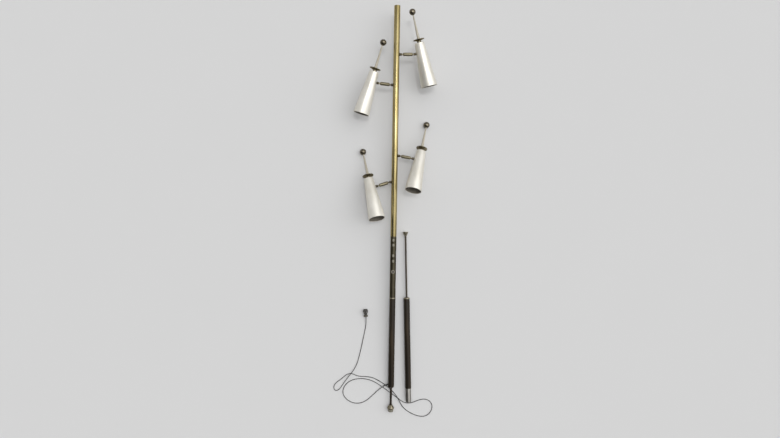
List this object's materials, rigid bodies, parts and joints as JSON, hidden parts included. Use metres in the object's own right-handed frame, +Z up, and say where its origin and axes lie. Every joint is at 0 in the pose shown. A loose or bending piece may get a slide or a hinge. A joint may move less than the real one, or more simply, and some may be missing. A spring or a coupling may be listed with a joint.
{
  "type": "tension-pole tree floor lamp",
  "caption": "Floor-to-ceiling pole lamp taken down flat: tapered shades on swivel arms along a brass and walnut pole, loose sprung upper section, corded plug.",
  "frame": {"origin": "middle of the lamp's footprint, on the floor it lies on", "axes": "+Y along the main pole from its foot to its socket end, +X to the right seen from above with the switches facing up, +Z up from the floor"},
  "size_m": [0.4377, 1.7784, 0.1485],
  "materials": {
    "brass": "satin, lacquered",
    "bronze": "satin dark bronze",
    "steel": "dull",
    "walnut": "oiled, dark",
    "rubber": "matt",
    "white_rubber": "matt",
    "black_plastic": "matt",
    "button_plastic": "satin",
    "pearl": "satin pearl enamel",
    "cream": "satin cream enamel",
    "dark_brass": "aged",
    "bulb_glass": "frosted",
    "spring_steel": "drawn wire",
    "cord_plastic": "semi-gloss"
  },
  "bodies": {
    "main_pole": {"upper_tube": "brass", "switch_tube": "bronze", "lower_ring": "brass", "lower_sleeve": "walnut", "end_cap": "black_plastic", "cord_grommet": "black_plastic", "switch_block": "black_plastic", "power_cord": "cord_plastic", "plug": "black_plastic"},
    "foot": {"adjuster_rod": "bronze", "foot_cup": "dark_brass", "foot_pad": "rubber"},
    "upper_section": {"spigot": "steel", "upper_sleeve": "walnut", "upper_ring": "brass", "spring": "spring_steel"},
    "plunger": {"spring_rod": "bronze", "ceiling_cup": "dark_brass", "ceiling_pad": "white_rubber"},
    "master_knob": {"master_knob": "bronze"},
    "button_1": {"button_1": "button_plastic"},
    "button_2": {"button_2": "button_plastic"},
    "button_3": {"button_3": "button_plastic"},
    "button_4": {"button_4": "button_plastic"},
    "upper_right_swivel": {"upper_right_pole_knuckle": "bronze"},
    "upper_right_arm": {"upper_right_arm_barrel": "brass"},
    "upper_right_head": {"upper_right_shade_knuckle": "bronze", "upper_right_shade": "pearl", "upper_right_heat_disc": "bronze", "upper_right_finial": "dark_brass", "upper_right_lampholder": "black_plastic", "upper_right_bulb": "bulb_glass"},
    "upper_left_swivel": {"upper_left_pole_knuckle": "bronze"},
    "upper_left_arm": {"upper_left_arm_barrel": "brass"},
    "upper_left_head": {"upper_left_shade_knuckle": "bronze", "upper_left_shade": "pearl", "upper_left_heat_disc": "bronze", "upper_left_finial": "dark_brass", "upper_left_lampholder": "black_plastic", "upper_left_bulb": "bulb_glass"},
    "lower_right_swivel": {"lower_right_pole_knuckle": "bronze"},
    "lower_right_arm": {"lower_right_arm_barrel": "brass"},
    "lower_right_head": {"lower_right_shade_knuckle": "bronze", "lower_right_shade": "pearl", "lower_right_heat_disc": "bronze", "lower_right_finial": "dark_brass", "lower_right_lampholder": "black_plastic", "lower_right_bulb": "bulb_glass"},
    "lower_left_swivel": {"lower_left_pole_knuckle": "bronze"},
    "lower_left_arm": {"lower_left_arm_barrel": "brass"},
    "lower_left_head": {"lower_left_shade_knuckle": "bronze", "lower_left_shade": "pearl", "lower_left_heat_disc": "bronze", "lower_left_finial": "dark_brass", "lower_left_lampholder": "black_plastic", "lower_left_bulb": "bulb_glass"}
  },
  "joints": [
    {"name": "foot_adjust", "type": "slide", "parent": "main_pole", "child": "foot", "axis": [0, -0.999, -0.0436], "range_m": [-0.035, 0.06]},
    {"name": "button_1_press", "type": "slide", "parent": "main_pole", "child": "button_1", "axis": [0, 0.0436, -0.999], "range_m": [0, 0.0025], "stiffness_N_per_m": 300, "springref_m": -0.002},
    {"name": "button_2_press", "type": "slide", "parent": "main_pole", "child": "button_2", "axis": [0, 0.0436, -0.999], "range_m": [0, 0.0025], "stiffness_N_per_m": 300, "springref_m": -0.002},
    {"name": "button_3_press", "type": "slide", "parent": "main_pole", "child": "button_3", "axis": [0, 0.0436, -0.999], "range_m": [0, 0.0025], "stiffness_N_per_m": 300, "springref_m": -0.002},
    {"name": "button_4_press", "type": "slide", "parent": "main_pole", "child": "button_4", "axis": [0, 0.0436, -0.999], "range_m": [0, 0.0025], "stiffness_N_per_m": 300, "springref_m": -0.002},
    {"name": "master_knob_turn", "type": "hinge", "parent": "main_pole", "child": "master_knob", "pos_m": [0.002, -0.25894, 0.0539], "axis": [0, -0.0436, 0.999], "range_deg": [0, 270]},
    {"name": "upper_section_lift", "type": "slide", "parent": "main_pole", "child": "upper_section", "axis": [0, 0, 1], "range_m": [0, 0.15]},
    {"name": "plunger_press", "type": "slide", "parent": "upper_section", "child": "plunger", "axis": [0.0337, -0.9994, 0], "range_m": [0, 0.06], "stiffness_N_per_m": 1500, "springref_m": -0.03, "deforming": ["spring"]},
    {"name": "upper_right_swivel_turn", "type": "hinge", "parent": "main_pole", "child": "upper_right_swivel", "pos_m": [0.0147, 0.67202, 0.08183], "axis": [1, 0, 0], "range_deg": [-170, 170]},
    {"name": "upper_right_arm_tilt", "type": "hinge", "parent": "upper_right_swivel", "child": "upper_right_arm", "pos_m": [0.0221, 0.67202, 0.08183], "axis": [0, -0.1426, 0.9898], "range_deg": [-28, 8]},
    {"name": "upper_right_head_tilt", "type": "hinge", "parent": "upper_right_arm", "child": "upper_right_head", "pos_m": [0.07848, 0.67368, 0.08207], "axis": [0, 0.1426, -0.9898], "range_deg": [-10, 30]},
    {"name": "upper_left_swivel_turn", "type": "hinge", "parent": "main_pole", "child": "upper_left_swivel", "pos_m": [-0.0107, 0.54305, 0.0762], "axis": [-1, 0, 0], "range_deg": [-170, 170]},
    {"name": "upper_left_arm_tilt", "type": "hinge", "parent": "upper_left_swivel", "child": "upper_left_arm", "pos_m": [-0.0181, 0.54305, 0.0762], "axis": [0, 0.0401, -0.9992], "range_deg": [-28, 7]},
    {"name": "upper_left_head_tilt", "type": "hinge", "parent": "upper_left_arm", "child": "upper_left_head", "pos_m": [-0.07419, 0.54894, 0.07644], "axis": [0, -0.0401, 0.9992], "range_deg": [-8, 30]},
    {"name": "lower_right_swivel_turn", "type": "hinge", "parent": "main_pole", "child": "lower_right_swivel", "pos_m": [0.0147, 0.24094, 0.06301], "axis": [1, 0, 0], "range_deg": [-170, 170]},
    {"name": "lower_right_arm_tilt", "type": "hinge", "parent": "lower_right_swivel", "child": "lower_right_arm", "pos_m": [0.0221, 0.24094, 0.06301], "axis": [0, 0.3275, 0.9448], "range_deg": [-9, 30]},
    {"name": "lower_right_head_tilt", "type": "hinge", "parent": "lower_right_arm", "child": "lower_right_head", "pos_m": [0.07737, 0.23031, 0.06669], "axis": [0, -0.3275, -0.9448], "range_deg": [-30, 9]},
    {"name": "lower_left_swivel_turn", "type": "hinge", "parent": "main_pole", "child": "lower_left_swivel", "pos_m": [-0.0107, 0.12804, 0.05808], "axis": [-1, 0, 0], "range_deg": [-170, 170]},
    {"name": "lower_left_arm_tilt", "type": "hinge", "parent": "lower_left_swivel", "child": "lower_left_arm", "pos_m": [-0.0181, 0.12804, 0.05808], "axis": [0, -0.3166, -0.9486], "range_deg": [-6, 30]},
    {"name": "lower_left_head_tilt", "type": "hinge", "parent": "lower_left_arm", "child": "lower_left_head", "pos_m": [-0.071, 0.10948, 0.06428], "axis": [0, 0.3166, 0.9486], "range_deg": [-30, 7]}
  ]
}
